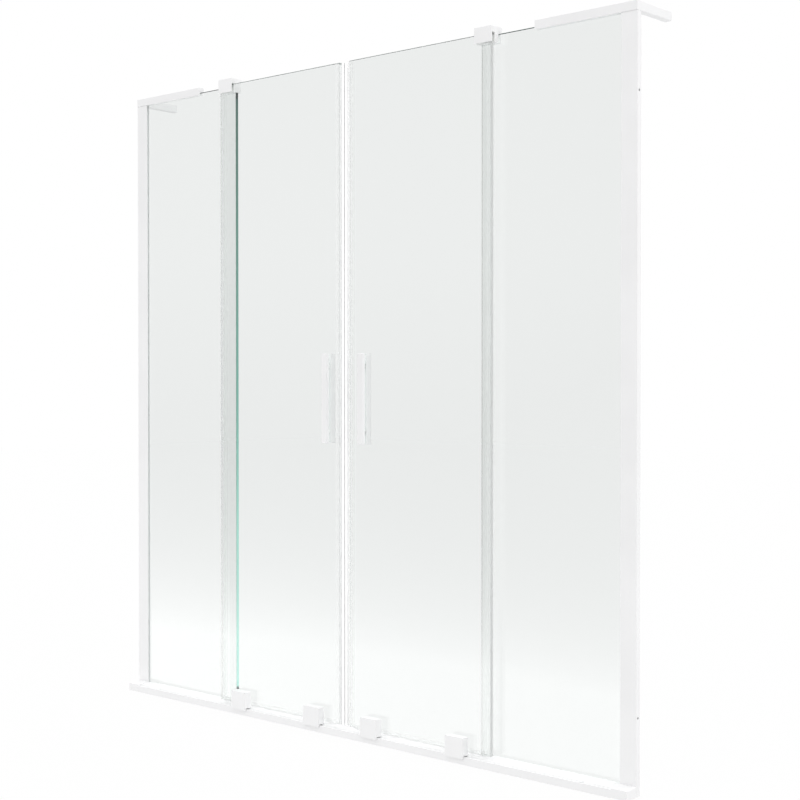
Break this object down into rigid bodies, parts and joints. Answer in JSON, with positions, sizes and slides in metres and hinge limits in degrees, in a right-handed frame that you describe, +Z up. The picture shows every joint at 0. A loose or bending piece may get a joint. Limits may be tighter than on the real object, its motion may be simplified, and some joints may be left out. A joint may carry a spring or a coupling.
{
  "type": "sliding bath screen",
  "caption": "Frameless glass screen that stands on a bath rim between two walls, with fixed outer panes and rolling inner doors that part in the middle.",
  "frame": {"origin": "middle of the rail's flat underside, where it stands on the bath rim", "axes": "+X to the right along the rail as seen from the door side, +Y from the doors to the fixed panes, +Z up"},
  "size_m": [1.5, 0.158, 1.5145],
  "materials": {
    "coated_metal": "white satin powder coat",
    "steel": "bright",
    "glass": "clear float glass with polished edges",
    "clear_seal": "clear",
    "clear_plastic": "clear",
    "magnet": "white magnet strip",
    "rubber": "matt",
    "nylon": "matt"
  },
  "bodies": {
    "frame": {"bottom_rail": "coated_metal", "rail_infill": "coated_metal", "left_rail_end_cap": "coated_metal", "right_rail_end_cap": "coated_metal", "rail_buffers": "clear_plastic", "left_wall_channel": "coated_metal", "right_wall_channel": "coated_metal", "left_wall_profile": "coated_metal", "right_wall_profile": "coated_metal", "left_glazing_gasket": "rubber", "right_glazing_gasket": "rubber", "profile_screws": "steel", "left_fixed_glass": "glass", "right_fixed_glass": "glass", "pane_foot_rubbers": "rubber", "left_brace_bar": "coated_metal", "right_brace_bar": "coated_metal", "left_brace_arm": "coated_metal", "right_brace_arm": "coated_metal", "brace_end_caps": "coated_metal", "brace_screws": "steel", "glass_clamp_rubbers": "rubber", "left_top_guide": "coated_metal", "right_top_guide": "coated_metal", "guide_slides": "nylon", "guide_screws": "steel"},
    "left_door": {"left_door_glass": "glass", "left_meeting_seal": "clear_seal", "left_magnet_strip": "magnet", "left_wiper_seal": "clear_seal", "left_drip_seal": "clear_seal", "left_handle_front": "coated_metal", "left_handle_back": "coated_metal", "left_glass_pads": "clear_plastic", "left_door_bolts": "steel", "left_clamp_discs": "coated_metal", "left_axles": "steel", "left_outer_carriage": "coated_metal", "left_inner_carriage": "coated_metal"},
    "left_outer_wheel": {"left_outer_roller": "nylon", "left_outer_bearing": "steel"},
    "left_inner_wheel": {"left_inner_roller": "nylon", "left_inner_bearing": "steel"},
    "right_door": {"right_door_glass": "glass", "right_meeting_seal": "clear_seal", "right_magnet_strip": "magnet", "right_wiper_seal": "clear_seal", "right_drip_seal": "clear_seal", "right_handle_front": "coated_metal", "right_handle_back": "coated_metal", "right_glass_pads": "clear_plastic", "right_door_bolts": "steel", "right_clamp_discs": "coated_metal", "right_axles": "steel", "right_outer_carriage": "coated_metal", "right_inner_carriage": "coated_metal"},
    "right_outer_wheel": {"right_outer_roller": "nylon", "right_outer_bearing": "steel"},
    "right_inner_wheel": {"right_inner_roller": "nylon", "right_inner_bearing": "steel"}
  },
  "joints": [
    {"name": "left_door_slide", "type": "slide", "parent": "frame", "child": "left_door", "axis": [-1, 0, 0], "range_m": [0, 0.3]},
    {"name": "left_outer_wheel_spin", "type": "hinge", "parent": "left_door", "child": "left_outer_wheel", "pos_m": [-0.3308, -0.0165, 0.0268], "axis": [0, 1, 0], "continuous": true},
    {"name": "left_inner_wheel_spin", "type": "hinge", "parent": "left_door", "child": "left_inner_wheel", "pos_m": [-0.088, -0.0165, 0.0268], "axis": [0, 1, 0], "continuous": true},
    {"name": "right_door_slide", "type": "slide", "parent": "frame", "child": "right_door", "axis": [1, 0, 0], "range_m": [0, 0.3]},
    {"name": "right_outer_wheel_spin", "type": "hinge", "parent": "right_door", "child": "right_outer_wheel", "pos_m": [0.3308, -0.0165, 0.0268], "axis": [0, 1, 0], "continuous": true},
    {"name": "right_inner_wheel_spin", "type": "hinge", "parent": "right_door", "child": "right_inner_wheel", "pos_m": [0.088, -0.0165, 0.0268], "axis": [0, 1, 0], "continuous": true}
  ],
  "couplings": [
    {"joint": "left_outer_wheel_spin", "follows": "left_door_slide", "rad_per_m": -90.909},
    {"joint": "left_inner_wheel_spin", "follows": "left_door_slide", "rad_per_m": -90.909},
    {"joint": "right_outer_wheel_spin", "follows": "right_door_slide", "rad_per_m": 90.909},
    {"joint": "right_inner_wheel_spin", "follows": "right_door_slide", "rad_per_m": 90.909}
  ]
}
